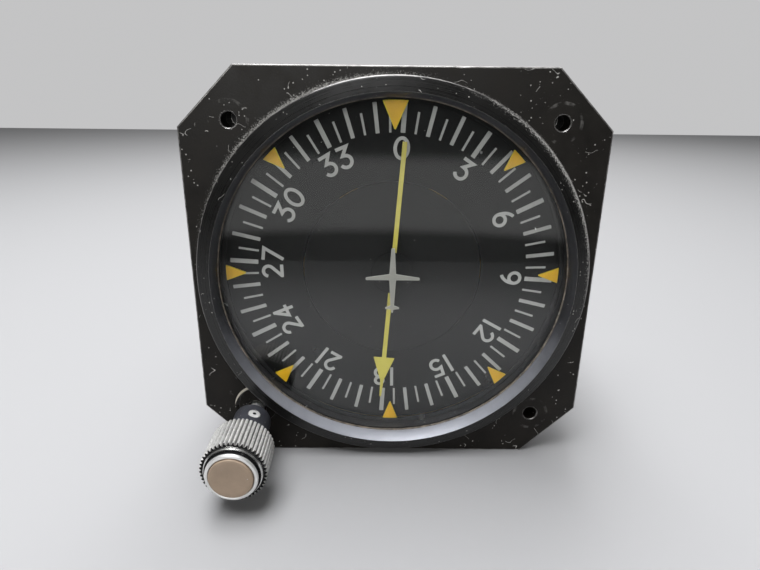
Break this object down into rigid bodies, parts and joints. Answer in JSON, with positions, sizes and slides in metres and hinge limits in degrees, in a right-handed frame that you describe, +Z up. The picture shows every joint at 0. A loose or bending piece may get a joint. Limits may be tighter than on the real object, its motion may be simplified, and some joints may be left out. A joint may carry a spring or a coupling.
{
  "type": "automatic direction finder indicator",
  "caption": "Panel direction indicator: cut-corner flange, round glass bezel, hand-set compass card, servo pointer and a knurled push-to-test knob.",
  "frame": {"origin": "middle of the outer box's footprint, on the surface that the flange's lower edge rests on", "axes": "+X to the right and +Z up as the pilot sees the dial, +Y into the panel along the dial's axis"},
  "size_m": [0.0826, 0.136, 0.0825],
  "materials": {
    "black_paint": "satin, worn to metal on edges",
    "glass": "clear",
    "cream_rubber": "aged",
    "black_plastic": "matt",
    "figure_grey": "matt",
    "mark_yellow": "matt, black ring with yellow tabs",
    "dial_black": "matt, with grey ticks and numerals",
    "pointer_yellow": "matt",
    "aluminium": "turned",
    "cast_aluminium": "as cast",
    "blue_black": "dark anodised",
    "steel": "ground",
    "bright_steel": "polished",
    "brass": "machined",
    "bronze": "sintered",
    "tan_plastic": "aged",
    "board_green": "laminate",
    "blue_sleeve": "shrink sleeve",
    "core_iron": "varnished"
  },
  "bodies": {
    "instrument": {"flange_casting": "black_paint", "glass_gasket": "cream_rubber", "cover_glass": "glass", "glass_spacer": "black_plastic", "aircraft_symbol": "figure_grey", "index_ring": "mark_yellow", "centre_disc": "dial_black", "dial_post": "aluminium", "post_nut": "steel", "front_bearing": "steel", "gear_housing": "cast_aluminium", "housing_screw_1": "steel", "housing_screw_2": "steel", "housing_screw_3": "steel", "housing_screw_4": "steel", "knob_bearing": "bronze", "test_switch": "black_plastic", "switch_cover": "cast_aluminium", "servo_plate": "aluminium", "middle_post_1": "aluminium", "middle_post_2": "aluminium", "middle_post_3": "aluminium", "rear_post_1": "aluminium", "rear_post_2": "aluminium", "rear_post_3": "aluminium", "idler_arbor": "steel", "servo_motor": "cast_aluminium", "resolver_body": "cast_aluminium", "resolver_cap": "cast_aluminium", "rear_bearing": "steel", "circuit_board": "board_green", "transformer": "core_iron", "filter_capacitor": "blue_sleeve", "case_tube": "black_paint", "rear_cover": "black_paint", "cover_screw_1": "steel", "cover_screw_2": "steel", "cover_screw_3": "steel", "connector_shell": "aluminium", "contact_insert": "black_plastic"},
    "card": {"compass_card": "dial_black", "card_gear": "brass", "card_bushing": "bronze"},
    "knob": {"knob_grip": "aluminium", "knob_hub": "blue_black", "set_screw": "bright_steel", "knob_shaft": "bright_steel", "knob_pinion": "brass", "button_ring": "bright_steel", "button_spring": "steel"},
    "button": {"test_button": "tan_plastic", "push_rod": "steel"},
    "plunger": {"switch_plunger": "cream_rubber"},
    "pointer": {"needle": "pointer_yellow", "needle_hub": "black_plastic", "pointer_shaft": "steel", "pointer_gear": "brass", "resolver_rotor": "steel"},
    "idler": {"idler_gear": "brass"},
    "motor_rotor": {"motor_shaft": "steel"}
  },
  "joints": [
    {"name": "card_turn", "type": "hinge", "parent": "instrument", "child": "card", "pos_m": [0, 0, 0.04127], "axis": [0, 1, 0], "continuous": true},
    {"name": "knob_turn", "type": "hinge", "parent": "instrument", "child": "knob", "pos_m": [-0.03018, 0, 0.00981], "axis": [0, 1, 0], "continuous": true},
    {"name": "button_press", "type": "slide", "parent": "knob", "child": "button", "axis": [0, 1, 0], "range_m": [0, 0.0012], "stiffness_N_per_m": 400, "springref_m": -0.001, "deforming": ["button_spring"]},
    {"name": "plunger_press", "type": "slide", "parent": "instrument", "child": "plunger", "axis": [0, 1, 0], "range_m": [0, 0.0012]},
    {"name": "pointer_turn", "type": "hinge", "parent": "instrument", "child": "pointer", "pos_m": [0, 0, 0.04127], "axis": [0, 1, 0], "continuous": true},
    {"name": "idler_turn", "type": "hinge", "parent": "instrument", "child": "idler", "pos_m": [0.01466, 0, 0.04661], "axis": [0, 1, 0], "continuous": true},
    {"name": "motor_turn", "type": "hinge", "parent": "instrument", "child": "motor_rotor", "pos_m": [0.0144, 0, 0.05921], "axis": [0, 1, 0], "continuous": true}
  ],
  "couplings": [
    {"joint": "knob_turn", "follows": "card_turn", "ratio": -8.0833},
    {"joint": "plunger_press", "follows": "button_press", "ratio": 1},
    {"joint": "idler_turn", "follows": "pointer_turn", "ratio": -3.3333},
    {"joint": "motor_turn", "follows": "pointer_turn", "ratio": 8.3333}
  ]
}
